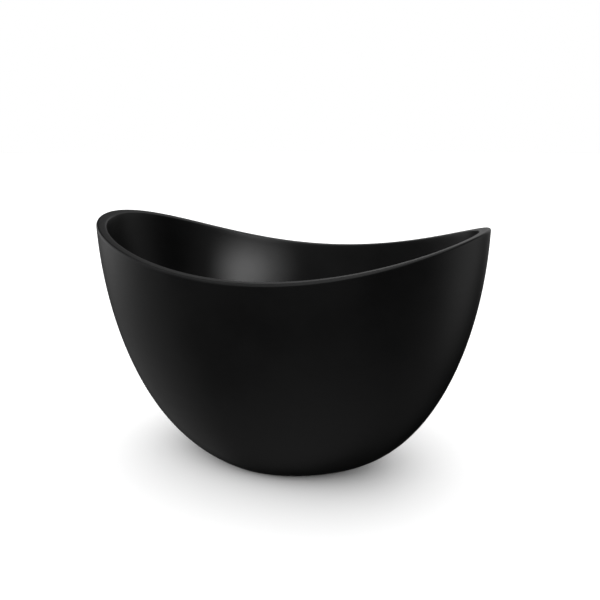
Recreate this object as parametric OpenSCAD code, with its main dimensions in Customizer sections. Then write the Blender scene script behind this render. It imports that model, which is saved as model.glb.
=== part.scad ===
// Compact double-skinned freestanding bathtub: a basin with a saddle-shaped rim, an outer skirt,
// a steel underframe on levelling feet, a pop-up waste and a slim overflow.
// Origin: centre of the base, on the floor. X runs along the tub, Y across it, Z up.

/* [Tub outline] */
// Length over the rim
tub_length = 1200; // [1150:5:1300]
// Width over the rim
tub_width = 685; // [660:5:740]
// Height of the rim at the two ends
end_height = 745; // [720:5:780]
// Height of the rim at the middle of the long sides
side_height = 620; // [600:5:650]
// Length of the oval that meets the floor
base_length = 380; // [370:5:420]
// Width of the oval that meets the floor
base_width = 315; // [305:5:340]
// Width of the flat rim band
rim_width = 30; // [28:1:36]
// Rounding of the rim's outer edge
rim_outer_round = 8; // [5:0.5:9]
// Rounding of the rim's inner edge
rim_inner_round = 3; // [2:0.5:4]
// Fullness of the plan at the base, below 0 for a pointed oval
plan_fullness_base = -0.02; // [-0.03:0.005:0.02]
// Fullness of the plan at the rim, above 0 for a squarer oval
plan_fullness_rim = 0.016; // [0:0.004:0.024]

/* [Shells] */
// Thickness of the basin's wall and of its lip
basin_wall = 6; // [5:0.5:7]
// Thickness of the basin's floor where it meets the walls
floor_thickness = 11; // [10:0.5:12]
// Thickness of the skirt
skirt_wall = 6; // [5:0.5:7]
// Depth of the basin's lip below the rim
lip_depth = 18; // [14:1:24]
// Height of the basin's floor at its edge
floor_height = 145; // [140:1:150]
// Fall of the floor to the drain
floor_fall = 4; // [2:0.5:5]
// Length of the basin's flat floor
floor_length = 400; // [360:5:440]
// Width of the basin's flat floor
floor_width = 220; // [200:5:240]
// Share of the base oval that is open below
base_opening = 0.86; // [0.84:0.01:0.9]

/* [Underframe] */
// Length of the stiffening board
board_length = 400; // [380:5:420]
// Width of the stiffening board
board_width = 230; // [200:5:240]
// Thickness of the stiffening board
board_thickness = 12; // [10:1:12]
// Side of the square rails
rail_side = 25; // [20:1:25]
// Wall of the square rails
rail_wall = 2; // [1.5:0.5:3]
// Length of the two long rails
rail_length = 380; // [340:5:390]
// Distance of each cross rail from the middle
cross_rail_x = 150; // [140:5:165]
// Distance of each foot from the middle, along the tub
foot_x = 100; // [90:1:105]
// Distance of each foot and long rail from the middle, across the tub
foot_y = 58; // [57:1:60]
// Radius of a foot's pad
pad_radius = 22; // [18:1:23]
// Thread diameter of a foot's stud
stud_diameter = 10; // [8:1:10]

/* [Waste] */
// Radius of the drain flange
flange_radius = 36; // [34:1:38]
// Outside radius of the flange's threaded stem
stem_radius = 23.9; // [23:0.1:24]
// Outside radius of the outlet pipe
outlet_radius = 20; // [19:0.5:20]
// Radius of the plug's cap
plug_radius = 27.5; // [26:0.5:28]
// Height of the waste body's overflow port
port_height = 78; // [76:1:79]

/* [Overflow] */
// Height of the overflow's centre
overflow_height = 500; // [480:5:510]
// Radius of the overflow's cover
cover_radius = 27; // [26:1:28]
// Depth of the flat duct behind the wall
duct_depth = 16; // [14:1:16]
// Length of the duct below the overflow's centre
duct_drop = 150; // [140:5:160]
// Outside radius of the hose
hose_radius = 16; // [15:0.5:16]

/* [Hidden] */
$fn = 48;

shell_black = [0.045, 0.047, 0.05];
satin_black = [0.07, 0.07, 0.075];
rubber_black = [0.12, 0.12, 0.12];
moulding_grey = [0.32, 0.33, 0.35];
steel = [0.72, 0.73, 0.75];
brass = [0.78, 0.62, 0.3];
plywood = [0.72, 0.56, 0.36];

facets_around = 60;
facets_up = 13;
slack = 0.05;        // radial running fit
cut = 1;             // how far a cutter runs past a face
around = [for (i = [0:facets_around - 1]) 360 * i / facets_around];

// Levels of the stack below the basin's floor
floor_under = floor_height - floor_thickness;
board_bottom = floor_under - board_thickness;
rail_bottom = board_bottom - rail_side;
drain_height = floor_height - floor_fall + 0.5;
flange_plate = 5;
gasket_thickness = 1.5;
recess_bottom = drain_height - flange_plate - gasket_thickness;
boss_bottom = floor_under - 6;
under_gasket_thickness = 3;
bond_gap = 0.4;      // glue line between the basin's lip and the skirt
strip_top = 8;       // depth of the joint strip's edges below the rim
strip_bottom = 36;
body_top = boss_bottom - under_gasket_thickness;

// Levels of the outlet pipe: its open end, the shoulder above its free length, and its held end
pipe_bottom = 5;
pipe_shoulder = 33;
pipe_top = 56.8;
pipe_held_radius = outlet_radius - 0.6;

// ---------------------------------------------------------------- shape of the tub

// A plan oval at parameter angle t: a and b are its half length and half width, e its fullness
function oval(t, a, b, e) = [
    a * (cos(t) - e * cos(3 * t)) / (1 - e),
    b * (sin(t) + e * sin(3 * t)) / (1 - e)
];

// Height of the rim's saddle at a distance x from the middle
function saddle(x) = side_height + (end_height - side_height) * pow(2 * x / tub_length, 2);

// A skin rises from its foot to its brim as a quarter of an ellipse. f runs from 0 at the foot to
// 90 at the brim. skin = [foot length, foot width, brim length, brim width, foot height, fullness]
function side_share(skin) = sin(acos(1 - (side_height - skin[4]) / (end_height - skin[4])));
function skin_point(skin, t, f) =
    let (g = sin(f), w = g / side_share(skin))
    concat(
        oval(t,
            (skin[0] + (skin[2] - skin[0]) * g) / 2,
            (skin[1] + (skin[3] - skin[1]) * w) / 2,
            skin[5] + (plan_fullness_rim - skin[5]) * g),
        [skin[4] + (end_height - skin[4]) * (1 - cos(f))]);
function angle_at(skin, z) = acos(1 - (z - skin[4]) / (end_height - skin[4]));

// Angle at which a skin meets the saddle, lowered by depth
function brim_angle(skin, t, depth = 0, z = side_height, tries = 6) =
    let (f = angle_at(skin, z - depth), p = skin_point(skin, t, angle_at(skin, z)))
    tries == 0 ? f : brim_angle(skin, t, depth, saddle(p[0]), tries - 1);

// Outward normal of a skin
function normal(skin, t, f) =
    let (
        step = 0.5,
        low = max(f - step, 0),
        side = skin_point(skin, t + step, f + 0.001) - skin_point(skin, t - step, f + 0.001),
        up = skin_point(skin, t, low + 2 * step) - skin_point(skin, t, low),
        n = cross(side, up))
    f == 0 ? [0, 0, -1] : n / norm(n);
function offset_point(skin, t, f, d) = skin_point(skin, t, f) + normal(skin, t, f) * d;

outer_skin = [base_length, base_width, tub_length, tub_width, 0, plan_fullness_base];
inner_skin = [floor_length, floor_width, tub_length - 2 * rim_width, tub_width - 2 * rim_width,
    floor_height, plan_fullness_rim];

// A point of the rim section: inset inwards from the outer skin, depth below the saddle
function inward(t) =
    let (
        o = skin_point(outer_skin, t, brim_angle(outer_skin, t)),
        i = skin_point(inner_skin, t, brim_angle(inner_skin, t)),
        v = [i[0] - o[0], i[1] - o[1]])
    v / norm(v);
function rim_point(t, inset, depth) =
    let (
        o = skin_point(outer_skin, t, brim_angle(outer_skin, t, depth)),
        u = inward(t),
        x = o[0] + u[0] * inset)
    [x, o[1] + u[1] * inset, o[2] + saddle(x) - saddle(o[0])];
// A point of the inner edge: inset outwards from the inner skin, depth below the saddle
function inner_point(t, inset, depth) =
    let (
        i = skin_point(inner_skin, t, brim_angle(inner_skin, t, depth)),
        u = inward(t),
        x = i[0] - u[0] * inset)
    [x, i[1] - u[1] * inset, i[2] + saddle(x) - saddle(i[0])];

function middle(ring) = [for (c = [0:2]) [for (p = ring) p[c]] * [for (p = ring) 1 / len(ring)]];
function reversed(list) = [for (i = [len(list) - 1:-1:0]) list[i]];

// Closed solid from rings of points: each ring joins the next, and the last joins the first or,
// where the solid isn't closed on itself, each end is a fan round the ring's middle
module ringed_solid(rings, closed = true) {
    n = len(rings[0]);
    m = len(rings);
    points = [for (r = rings) for (p = r) p];
    pole = len(points);
    sides = [
        for (j = [0:closed ? m - 1 : m - 2]) for (i = [0:n - 1])
            let (k = (i + 1) % n, a = j * n, b = ((j + 1) % m) * n)
            each [[a + i, b + i, b + k], [a + i, b + k, a + k]]
    ];
    ends = closed ? [] : [
        for (i = [0:n - 1])
            let (k = (i + 1) % n, b = (m - 1) * n)
            each [[pole, i, k], [pole + 1, b + k, b + i]]
    ];
    polyhedron(closed ? points : concat(points, [middle(rings[0]), middle(rings[m - 1])]),
        concat(sides, ends), convexity = 6);
}

// ---------------------------------------------------------------- shells

// The basin's rings, from the middle of its floor up the inside, over the rim and down its back
module basin_blank() {
    floor_ring = [for (t = around) skin_point(inner_skin, t, 0)];
    fall_ring = [for (p = floor_ring) [p[0] * 0.3, p[1] * 0.4, floor_height - floor_fall]];
    wall_rings = [for (j = [1:facets_up]) [
        for (t = around)
            skin_point(inner_skin, t, brim_angle(inner_skin, t, rim_inner_round) * j / facets_up)]];
    inner_edge = [for (q = [45, 90]) [
        for (t = around)
            inner_point(t, rim_inner_round * (1 - cos(q)), rim_inner_round * (1 - sin(q)))]];
    outer_edge = [for (q = [90, 60, 30, 0]) [
        for (t = around)
            rim_point(t, rim_outer_round * (1 - cos(q)), rim_outer_round * (1 - sin(q)))]];
    lip = [
        [for (t = around) rim_point(t, 0, lip_depth)],
        [for (t = around) rim_point(t, basin_wall, lip_depth)],
        [for (t = around) rim_point(t, basin_wall, basin_wall)],
        [for (t = around) inner_point(t, basin_wall, basin_wall)]
    ];
    back_rings = [for (j = [facets_up - 1:-1:0]) [
        for (t = around)
            let (
                f = brim_angle(inner_skin, t, basin_wall) * j / facets_up,
                d = basin_wall + (floor_thickness - basin_wall) * pow(cos(f), 2))
            offset_point(inner_skin, t, f, d)]];
    ringed_solid(
        reversed(concat([fall_ring, floor_ring], wall_rings, inner_edge, outer_edge, lip, back_rings)),
        closed = false);
}

module basin() {
    color(shell_black)
    difference() {
        union() {
            basin_blank();
            translate([0, 0, boss_bottom])
                cylinder(r = 45, h = floor_under - boss_bottom + 4);
            at_overflow()
                translate([0, 0, -basin_wall - 2])
                    cylinder(r = 31, h = 5);
        }
        translate([0, 0, recess_bottom])
            cylinder(r = flange_radius + 0.5, h = 12);
        translate([0, 0, boss_bottom - cut])
            cylinder(r = stem_radius + 2, h = 20);
        at_overflow() {
            cylinder(r = cover_radius + 1, h = 8);
            translate([0, 0, -12])
                cylinder(r = 20, h = 16);
        }
    }
}

module skirt() {
    top = lip_depth + bond_gap;
    outside = [for (j = [0:facets_up - 1]) [
        for (t = around)
            skin_point(outer_skin, t, brim_angle(outer_skin, t, top) * j / facets_up)]];
    brim = [for (s = [[0, strip_bottom], [0, top], [skirt_wall, top], [skirt_wall, strip_bottom]]) [
        for (t = around) rim_point(t, s[0], s[1])]];
    inside = [for (j = [facets_up - 1:-1:0]) [
        for (t = around)
            offset_point(outer_skin, t, brim_angle(outer_skin, t, top) * j / facets_up, -skirt_wall)]];
    opening = [for (z = [skirt_wall, 0]) [
        for (p = outside[0]) [p[0] * base_opening, p[1] * base_opening, z]]];
    color(shell_black)
        ringed_solid(concat(outside, brim, inside, opening));
}

// Strip bonded behind the seam between the basin's lip and the skirt
module joint_strip() {
    face = basin_wall + 0.05;
    back = face + 3;
    section = [[face, strip_top], [back, strip_top], [back, strip_bottom - 1], [face, strip_bottom - 1],
        [face, lip_depth + bond_gap], [face, lip_depth]];
    rings = [for (s = section) [for (t = around) rim_point(t, s[0], s[1])]];
    color(moulding_grey)
        ringed_solid(rings);
}

// ---------------------------------------------------------------- underframe

module at_feet() {
    for (x = [-foot_x, foot_x], y = [-foot_y, foot_y])
        translate([x, y, 0])
            children();
}

module at_board_screws() {
    for (x = [-170, -60, 60, 170], y = [-foot_y, foot_y])
        translate([x, y, 0])
            children();
}

module base_board() {
    corner = 20;
    color(plywood)
    difference() {
        translate([0, 0, board_bottom])
            union() {
                translate([-board_length / 2 + corner, -board_width / 2, 0])
                    cube([board_length - 2 * corner, board_width, board_thickness]);
                translate([-board_length / 2, -board_width / 2 + corner, 0])
                    cube([board_length, board_width - 2 * corner, board_thickness]);
                for (x = [-1, 1], y = [-1, 1])
                    translate([x * (board_length / 2 - corner), y * (board_width / 2 - corner), 0])
                        cylinder(r = corner, h = board_thickness);
            }
        translate([0, 0, board_bottom - cut])
            cylinder(r = 50, h = board_thickness + 2 * cut);
        at_board_screws()
            translate([0, 0, board_bottom - cut])
                cylinder(r = 2.15, h = 10 + cut);
    }
}

module long_rail(y) {
    inner = rail_side - 2 * rail_wall;
    color(steel)
    difference() {
        translate([-rail_length / 2, y - rail_side / 2, rail_bottom])
            cube([rail_length, rail_side, rail_side]);
        translate([-rail_length / 2 - cut, y - inner / 2, rail_bottom + rail_wall])
            cube([rail_length + 2 * cut, inner, inner]);
        at_board_screws()
            translate([0, 0, rail_bottom - cut])
                cylinder(r = 2.4, h = rail_side + 2 * cut);
        at_feet()
            translate([0, 0, rail_bottom - cut])
                cylinder(r = stud_diameter / 2 + 0.6, h = rail_wall + 2 * cut);
    }
}

module cross_rail(x) {
    inner = rail_side - 2 * rail_wall;
    span = 2 * foot_y - rail_side;
    color(steel)
    difference() {
        translate([x - rail_side / 2, -span / 2, rail_bottom])
            cube([rail_side, span, rail_side]);
        translate([x - inner / 2, -span / 2 - cut, rail_bottom + rail_wall])
            cube([inner, span + 2 * cut, inner]);
    }
}

module board_screws() {
    color(steel)
    at_board_screws()
        translate([0, 0, rail_bottom])
            rotate_extrude()
                polygon([[0, -2.6], [3.2, -2.6], [4.6, -1.4], [4.6, 0], [2.1, 0],
                    [2.1, rail_side + 8], [0, rail_side + 9.5]]);
}

module hex_nut(height) {
    difference() {
        cylinder(r = 9.8, h = height, $fn = 6);
        translate([0, 0, -cut])
            cylinder(r = stud_diameter / 2, h = height + 2 * cut);
    }
}

module weld_nuts() {
    color(steel)
    at_feet()
        translate([0, 0, rail_bottom - 8])
            hex_nut(8);
}

module lock_nuts() {
    color(steel)
    at_feet()
        translate([0, 0, rail_bottom - 14.2])
            rotate(15)
                hex_nut(6);
}

// Threaded stud with its spanner flats, turning in the pad's socket
module foot_stud(x, y) {
    r = stud_diameter / 2 - slack;
    color(steel)
    translate([x, y, 0]) {
        rotate_extrude()
            polygon([[0, 3.4], [r - 1, 3.4], [r, 4.4], [r, rail_bottom + 15.5],
                [r - 1.5, rail_bottom + 17], [0, rail_bottom + 17]]);
        translate([0, 0, 10.4])
            difference() {
                cylinder(r = 8.1, h = 6, $fn = 6);
                translate([0, 0, -cut])
                    cylinder(r = r, h = 6 + 2 * cut);
            }
    }
}

module foot_pad(x, y) {
    socket = stud_diameter / 2;
    color(rubber_black)
    translate([x, y, 0])
        rotate_extrude()
            polygon([[0, 0], [pad_radius - 1, 0], [pad_radius, 1], [pad_radius, 4],
                [socket + 6, 10], [socket, 10], [socket, 3], [0, 3]]);
}

// ---------------------------------------------------------------- waste

module waste_flange() {
    throat = 20;
    web_top = drain_height - 24;
    color(satin_black)
    difference() {
        union() {
            translate([0, 0, drain_height])
                rotate_extrude()
                    polygon([[throat, -41.5], [throat, -6.5], [23, -3.6], [30, -1.2], [31.5, 0],
                        [flange_radius - 0.8, 0], [flange_radius, -0.8], [flange_radius, -flange_plate],
                        [stem_radius, -flange_plate], [stem_radius, -41.5]]);
            translate([0, 0, web_top - 6])
                cylinder(r = 9, h = 6);
            for (a = [0, 120, 240])
                rotate(a)
                    translate([5, -2, web_top - 6])
                        cube([throat - 4, 4, 6]);
        }
        translate([0, 0, web_top - 6 - cut])
            cylinder(r = 6, h = 6 + 2 * cut);
    }
}

module ring(inner, outer, bottom, top) {
    translate([0, 0, bottom])
        difference() {
            cylinder(r = outer, h = top - bottom);
            translate([0, 0, -cut])
                cylinder(r = inner, h = top - bottom + 2 * cut);
        }
}

module flange_gasket() {
    color(rubber_black)
        ring(stem_radius + 0.6, flange_radius - 1, recess_bottom, recess_bottom + gasket_thickness);
}

module under_gasket() {
    color(rubber_black)
        ring(stem_radius + 0.6, 40, body_top, boss_bottom);
}

// Chamber below the floor: threaded for the flange's stem, with the overflow port on its front
module waste_body() {
    wall_radius = 30;
    chamber = 26.5;
    port_radius = 12.5;
    color(moulding_grey)
    difference() {
        union() {
            rotate_extrude()
                polygon([[0, 45], [24, 45], [24, 58], [wall_radius, 64], [wall_radius, body_top - 8],
                    [42, body_top - 6], [42, body_top], [0, body_top]]);
            translate([0, -24, port_height])
                rotate([90, 0, 0])
                    cylinder(r = port_radius, h = 34);
        }
        rotate_extrude()
            polygon([[0, 44], [pipe_held_radius + 0.3, 44], [pipe_held_radius + 0.3, 57], [18, 57], [18, 60],
                [chamber, 66], [chamber, 95], [stem_radius + 0.1, 97], [stem_radius + 0.1, body_top + cut],
                [0, body_top + cut]]);
        translate([0, -20, port_height])
            rotate([90, 0, 0])
                cylinder(r = 10, h = 40);
    }
}

module outlet_washer() {
    color(rubber_black)
        rotate_extrude()
            polygon([[pipe_held_radius + 0.1, 40], [outlet_radius + 1.4, 40], [outlet_radius + 3.4, 42],
                [outlet_radius + 3.4, 45], [pipe_held_radius + 0.1, 45]]);
}

module outlet_nut() {
    color(moulding_grey) {
        rotate_extrude()
            polygon([[outlet_radius + 0.4, 35], [28, 35], [28, 56], [24.1, 56], [24.1, 41.4],
                [outlet_radius + 1.8, 39.2], [outlet_radius + 0.4, 38]]);
        for (a = [0:30:330])
            rotate(a)
                translate([27, -2, 37])
                    cube([3, 4, 18]);
    }
}

// Outlet pipe: its free end takes the trap, and its slimmer upper end is held by the nut
module tailpiece() {
    bore = outlet_radius - 2;
    color(moulding_grey)
        rotate_extrude()
            polygon([[bore, pipe_bottom], [outlet_radius, pipe_bottom], [outlet_radius, pipe_shoulder],
                [pipe_held_radius, pipe_shoulder], [pipe_held_radius, pipe_top], [bore, pipe_top]]);
}

// ---------------------------------------------------------------- pop-up plug

module cartridge() {
    color(brass)
    translate([0, 0, drain_height])
        rotate_extrude()
            polygon([[4 + slack, -32], [5.9, -32], [5.9, -24], [8.5, -24], [8.5, -21], [7.4, -21],
                [7.4, -14], [6.1, -14], [6.1, -21], [4 + slack, -21]]);
}

module plug_stem() {
    color(brass)
    translate([0, 0, drain_height])
        rotate_extrude()
            polygon([[0, -44], [5.2, -44], [5.2, -41.6], [4, -41.6], [4, -3.5], [3.5, -3], [0, -3]]);
}

module plug_cap() {
    color(satin_black)
    translate([0, 0, drain_height])
        rotate_extrude()
            polygon([[0, -3], [4.02, -3], [4.02, -8], [8, -8], [8, -2], [24, -2], [plug_radius, -1.3],
                [plug_radius, -0.4], [plug_radius - 1, 0.6], [18, 1.5], [9, 1.9], [0, 2]]);
}

module plug_seal() {
    color(rubber_black)
    translate([0, 0, drain_height])
        rotate_extrude()
            polygon([[8.1, -2.1], [23.8, -2.1], [23.2, -2.9], [22, -3.6], [8.1, -3.6]]);
}

// Return spring of the plug, round the stem
module plug_spring() {
    wire = 0.55;
    coil = 5.2;
    turns = 5;
    facets_per_turn = 14;
    bottom = drain_height - 21 + wire;
    rise = 13 - 2 * wire - 0.1;
    steps = facets_per_turn * turns;
    section = [for (q = [0:60:300]) [wire * cos(q), -wire * sin(q)]];
    rings = [for (i = [0:steps])
        let (a = 360 * i / facets_per_turn, z = bottom + rise * i / steps)
        [for (s = section) [(coil + s[0]) * cos(a), (coil + s[0]) * sin(a), z + s[1]]]];
    color(steel)
        ringed_solid(rings, closed = false);
}

// ---------------------------------------------------------------- overflow

overflow_angle = angle_at(inner_skin, overflow_height);
overflow_seat = skin_point(inner_skin, 270, overflow_angle);
overflow_out = normal(inner_skin, 270, overflow_angle);
overflow_lean = atan2(-overflow_out[2], -overflow_out[1]);

// Local frame on the front wall: +Z into the tub, +Y down the wall
module at_overflow() {
    translate(overflow_seat)
        rotate([overflow_lean - 90, 0, 0])
            children();
}

duct_front = -basin_wall - 4;
duct_wall = 2;
spigot_axis = -15;
spigot_radius = 12.5;
spigot_base = 4;
spigot_length = 24;

// World [y, z] of a point in the overflow's frame
function at_wall(y, z) =
    let (turn = overflow_lean - 90)
    [overflow_seat[1] + cos(turn) * y - sin(turn) * z, overflow_seat[2] + sin(turn) * y + cos(turn) * z];

module overflow_cover() {
    color(satin_black)
    at_overflow()
        difference() {
            translate([0, 0, 1.5])
                rotate_extrude()
                    polygon([[0, 0], [cover_radius, 0], [cover_radius, 1.6], [cover_radius - 1.2, 3],
                        [0, 3]]);
            for (x = [-13, 13])
                translate([x, -12, 0])
                    cylinder(r = 4, h = 6);
            translate([-13, -16, 0])
                cube([26, 8, 6]);
            cylinder(r = 3.1, h = 6);
        }
}

module overflow_screw() {
    color(satin_black)
    at_overflow()
        rotate_extrude()
            polygon([[0, -15.8], [3, -15.8], [3, 4.5], [5.5, 4.5], [5.5, 5.6], [4.6, 6.6], [0, 6.8]]);
}

module overflow_seal_front() {
    color(rubber_black)
    at_overflow()
        ring(20.6, cover_radius - 1, 0, 1.5);
}

module overflow_seal_back() {
    color(rubber_black)
    at_overflow()
        ring(20.6, 30, duct_front, -basin_wall - 2);
}

// Flat duct that runs down the back of the wall to a round spigot
module overflow_duct() {
    half = 31;
    duct_back = duct_front - duct_depth;
    color(moulding_grey)
    at_overflow()
        difference() {
            union() {
                difference() {
                    translate([-half, -half, duct_back])
                        cube([2 * half, half + duct_drop, duct_depth]);
                    translate([-half + duct_wall, -half + duct_wall, duct_back + duct_wall])
                        cube([2 * (half - duct_wall), half + duct_drop - 2 * duct_wall,
                            duct_depth - 2 * duct_wall]);
                    translate([0, 0, duct_front - duct_wall - cut])
                        cylinder(r = 20, h = duct_wall + 2 * cut);
                }
                translate([-half + 1, -5, duct_front - 6])
                    cube([2 * half - 2, 10, 4]);
                translate([0, duct_drop, spigot_axis])
                    rotate([-90, 0, 0]) {
                        cylinder(r = spigot_radius + 2, h = spigot_base);
                        cylinder(r = spigot_radius, h = spigot_length);
                    }
            }
            translate([-8, duct_drop - duct_wall - cut, duct_back + duct_wall])
                cube([16, duct_wall + spigot_base, duct_depth - 2 * duct_wall]);
            translate([0, duct_drop + 2, spigot_axis])
                rotate([-90, 0, 0])
                    cylinder(r = 10, h = spigot_length);
            translate([0, 0, duct_front - 8])
                cylinder(r = 3.02, h = 8);
        }
}

// Route of the hose in the plane across the tub, as [y, z]: straight off the duct's spigot, in
// under the basin, and straight onto the waste body's port
hose_route = concat(
    [at_wall(duct_drop + spigot_base + 0.3, spigot_axis), at_wall(duct_drop + spigot_length, spigot_axis)],
    [[-278, 278], [-262, 238], [-238, 195], [-206, 156], [-168, 122], [-128, 94]],
    [[-92, port_height], [-64, port_height], [-34, port_height]]);

// Points of a smooth curve through a list of points
function smooth(p, steps) = [
    for (i = [0:len(p) - 2]) for (j = [0:steps - 1])
        let (
            s = j / steps,
            a = p[max(i - 1, 0)], b = p[i], c = p[i + 1], d = p[min(i + 2, len(p) - 1)],
            slope = (c - a) / 2,
            bend = a - 2.5 * b + 2 * c - d / 2,
            twist = (3 * b - a - 3 * c + d) / 2)
        b + slope * s + bend * pow(s, 2) + twist * pow(s, 3),
    p[len(p) - 1]
];

// Rings of a round tube that follows a curve of [y, z] points
function tube_rings(curve, radius, sides) = [
    for (i = [0:len(curve) - 1])
        let (
            d = curve[min(i + 1, len(curve) - 1)] - curve[max(i - 1, 0)],
            t = d / norm(d))
        [for (q = [0:sides - 1])
            let (c = radius * cos(360 * q / sides), s = radius * sin(360 * q / sides))
            [c, curve[i][0] + s * t[1], curve[i][1] - s * t[0]]]
];

module overflow_hose() {
    sides = 12;
    curve = smooth(hose_route, 3);
    bore = (spigot_radius + 0.1) / cos(180 / sides);
    color(rubber_black)
        ringed_solid(concat(
            tube_rings(curve, hose_radius, sides),
            reversed(tube_rings(curve, bore, sides))));
}

// Clip round the hose, along Z, with its screw housing to one side
module hose_clip() {
    ring(hose_radius + 0.1, hose_radius + 1.3, 0, 9);
    difference() {
        translate([hose_radius, -5, 1])
            cube([6, 10, 7]);
        translate([0, 0, -cut])
            cylinder(r = hose_radius + 0.1, h = 12);
    }
}

module hose_clips() {
    color(steel) {
        at_overflow()
            translate([0, duct_drop + spigot_base + 6, spigot_axis])
                rotate([-90, 0, 0])
                    hose_clip();
        translate([0, -40, port_height])
            rotate([90, 0, 0])
                hose_clip();
    }
}

basin();
skirt();
joint_strip();
base_board();
long_rail(-foot_y);  // long_rail_front
long_rail(foot_y);  // long_rail_rear
cross_rail(-cross_rail_x);  // cross_rail_left
cross_rail(cross_rail_x);  // cross_rail_right
board_screws();
weld_nuts();
lock_nuts();
foot_stud(-foot_x, -foot_y);  // foot_stud_front_left
foot_stud(foot_x, -foot_y);  // foot_stud_front_right
foot_stud(-foot_x, foot_y);  // foot_stud_rear_left
foot_stud(foot_x, foot_y);  // foot_stud_rear_right
foot_pad(-foot_x, -foot_y);  // foot_pad_front_left
foot_pad(foot_x, -foot_y);  // foot_pad_front_right
foot_pad(-foot_x, foot_y);  // foot_pad_rear_left
foot_pad(foot_x, foot_y);  // foot_pad_rear_right
waste_flange();
flange_gasket();
under_gasket();
waste_body();
outlet_washer();
outlet_nut();
tailpiece();
cartridge();
plug_stem();
plug_cap();
plug_seal();
plug_spring();
overflow_cover();
overflow_screw();
overflow_seal_front();
overflow_seal_back();
overflow_duct();
overflow_hose();
hose_clips();
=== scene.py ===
"""The looks of a compact freestanding bathtub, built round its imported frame.

The tub is two skins: a basin with a saddle-shaped rim, and an outer skirt bonded under that rim.
Between them are the underframe on its levelling feet, the waste with its pop-up plug, and the overflow.
"""

import math

import bpy
import numpy as np
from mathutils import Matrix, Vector


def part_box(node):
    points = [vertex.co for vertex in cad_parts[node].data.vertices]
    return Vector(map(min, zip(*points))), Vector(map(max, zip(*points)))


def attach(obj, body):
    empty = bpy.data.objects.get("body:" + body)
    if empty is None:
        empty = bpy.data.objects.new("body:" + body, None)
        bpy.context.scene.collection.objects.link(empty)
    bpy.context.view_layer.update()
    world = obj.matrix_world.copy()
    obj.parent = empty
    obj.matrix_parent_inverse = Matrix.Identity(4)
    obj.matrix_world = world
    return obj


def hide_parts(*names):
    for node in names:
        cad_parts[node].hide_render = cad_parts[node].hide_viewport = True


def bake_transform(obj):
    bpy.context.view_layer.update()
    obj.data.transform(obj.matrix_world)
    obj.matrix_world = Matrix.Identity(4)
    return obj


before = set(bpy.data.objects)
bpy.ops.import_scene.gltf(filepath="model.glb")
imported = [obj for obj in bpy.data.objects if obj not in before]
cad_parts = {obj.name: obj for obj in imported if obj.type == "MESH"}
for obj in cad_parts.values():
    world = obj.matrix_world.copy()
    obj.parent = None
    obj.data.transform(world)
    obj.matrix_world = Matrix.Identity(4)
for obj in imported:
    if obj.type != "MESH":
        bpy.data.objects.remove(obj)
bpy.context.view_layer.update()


# ---------------------------------------------------------------- basin
# The inner shell: a vacuum-formed acrylic sheet, backed with glass-reinforced resin and finished
# in satin black gel coat. It has the flat rim, and a lip that hangs down over the skirt.

TUB_LENGTH = 1.200
TUB_WIDTH = 0.685
END_HEIGHT = 0.745
SIDE_HEIGHT = 0.620
RIM_WIDTH = 0.030
RIM_OUTER_ROUND = 0.008
RIM_INNER_ROUND = 0.003
RIM_FULLNESS = 0.016
LIP_DEPTH = 0.018
SHELL = 0.006

SKIRT_FOOT_LENGTH = 0.380
SKIRT_FOOT_WIDTH = 0.315
SKIRT_FULLNESS = -0.02

FLOOR_LENGTH = 0.400
FLOOR_WIDTH = 0.220
FLOOR_HEIGHT = 0.145
FLOOR_FALL = 0.004
FLOOR_THICKNESS = 0.011

AROUND = 2 * math.pi * np.arange(288) / 288


def saddle(x):
    """Height of the rim at a distance x from the middle."""
    return SIDE_HEIGHT + (END_HEIGHT - SIDE_HEIGHT) * (2 * x / TUB_LENGTH) ** 2


class Skin:
    """A wall that rises from a small oval foot to the brim as a quarter of an ellipse."""

    def __init__(self, foot_length, foot_width, brim_length, brim_width, foot_height, fullness):
        self.foot = np.array([foot_length, foot_width]) / 2
        self.brim = np.array([brim_length, brim_width]) / 2
        self.height = foot_height
        self.rise = END_HEIGHT - foot_height
        self.fullness = fullness
        self.side_share = math.sin(math.acos(1 - (SIDE_HEIGHT - foot_height) / self.rise))

    def point(self, t, f):
        """Points at the plan angles t and at the angles f up the wall, 0 at the foot."""
        up = np.sin(f) + 0 * t
        half_length = self.foot[0] + (self.brim[0] - self.foot[0]) * up
        half_width = self.foot[1] + (self.brim[1] - self.foot[1]) * up / self.side_share
        full = self.fullness + (RIM_FULLNESS - self.fullness) * up
        return np.stack([
            half_length * (np.cos(t) - full * np.cos(3 * t)) / (1 - full),
            half_width * (np.sin(t) + full * np.sin(3 * t)) / (1 - full),
            self.height + self.rise * (1 - np.cos(f)) + 0 * t,
        ], axis=-1)

    def angle_at(self, z):
        return np.arccos(1 - (z - self.height) / self.rise)

    def brim_angle(self, t, depth=0.0):
        """Angle at which the wall meets the saddle, lowered by depth."""
        z = SIDE_HEIGHT + 0 * t
        for _ in range(12):
            z = saddle(self.point(t, self.angle_at(z))[..., 0])
        return self.angle_at(z - depth)

    def normal(self, t, f):
        """Outward normals, which point straight down at the foot."""
        step = 0.002
        side = self.point(t + step, f + step) - self.point(t - step, f + step)
        up = self.point(t, f + step) - self.point(t, np.maximum(f - step, 0))
        n = np.cross(side, up)
        n /= np.linalg.norm(n, axis=-1, keepdims=True)
        return np.where((f + 0 * t)[..., None] < 1e-6, [0.0, 0.0, -1.0], n)


outer_skin = Skin(SKIRT_FOOT_LENGTH, SKIRT_FOOT_WIDTH, TUB_LENGTH, TUB_WIDTH, 0.0, SKIRT_FULLNESS)
inner_skin = Skin(FLOOR_LENGTH, FLOOR_WIDTH, TUB_LENGTH - 2 * RIM_WIDTH, TUB_WIDTH - 2 * RIM_WIDTH,
                  FLOOR_HEIGHT, RIM_FULLNESS)

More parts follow.
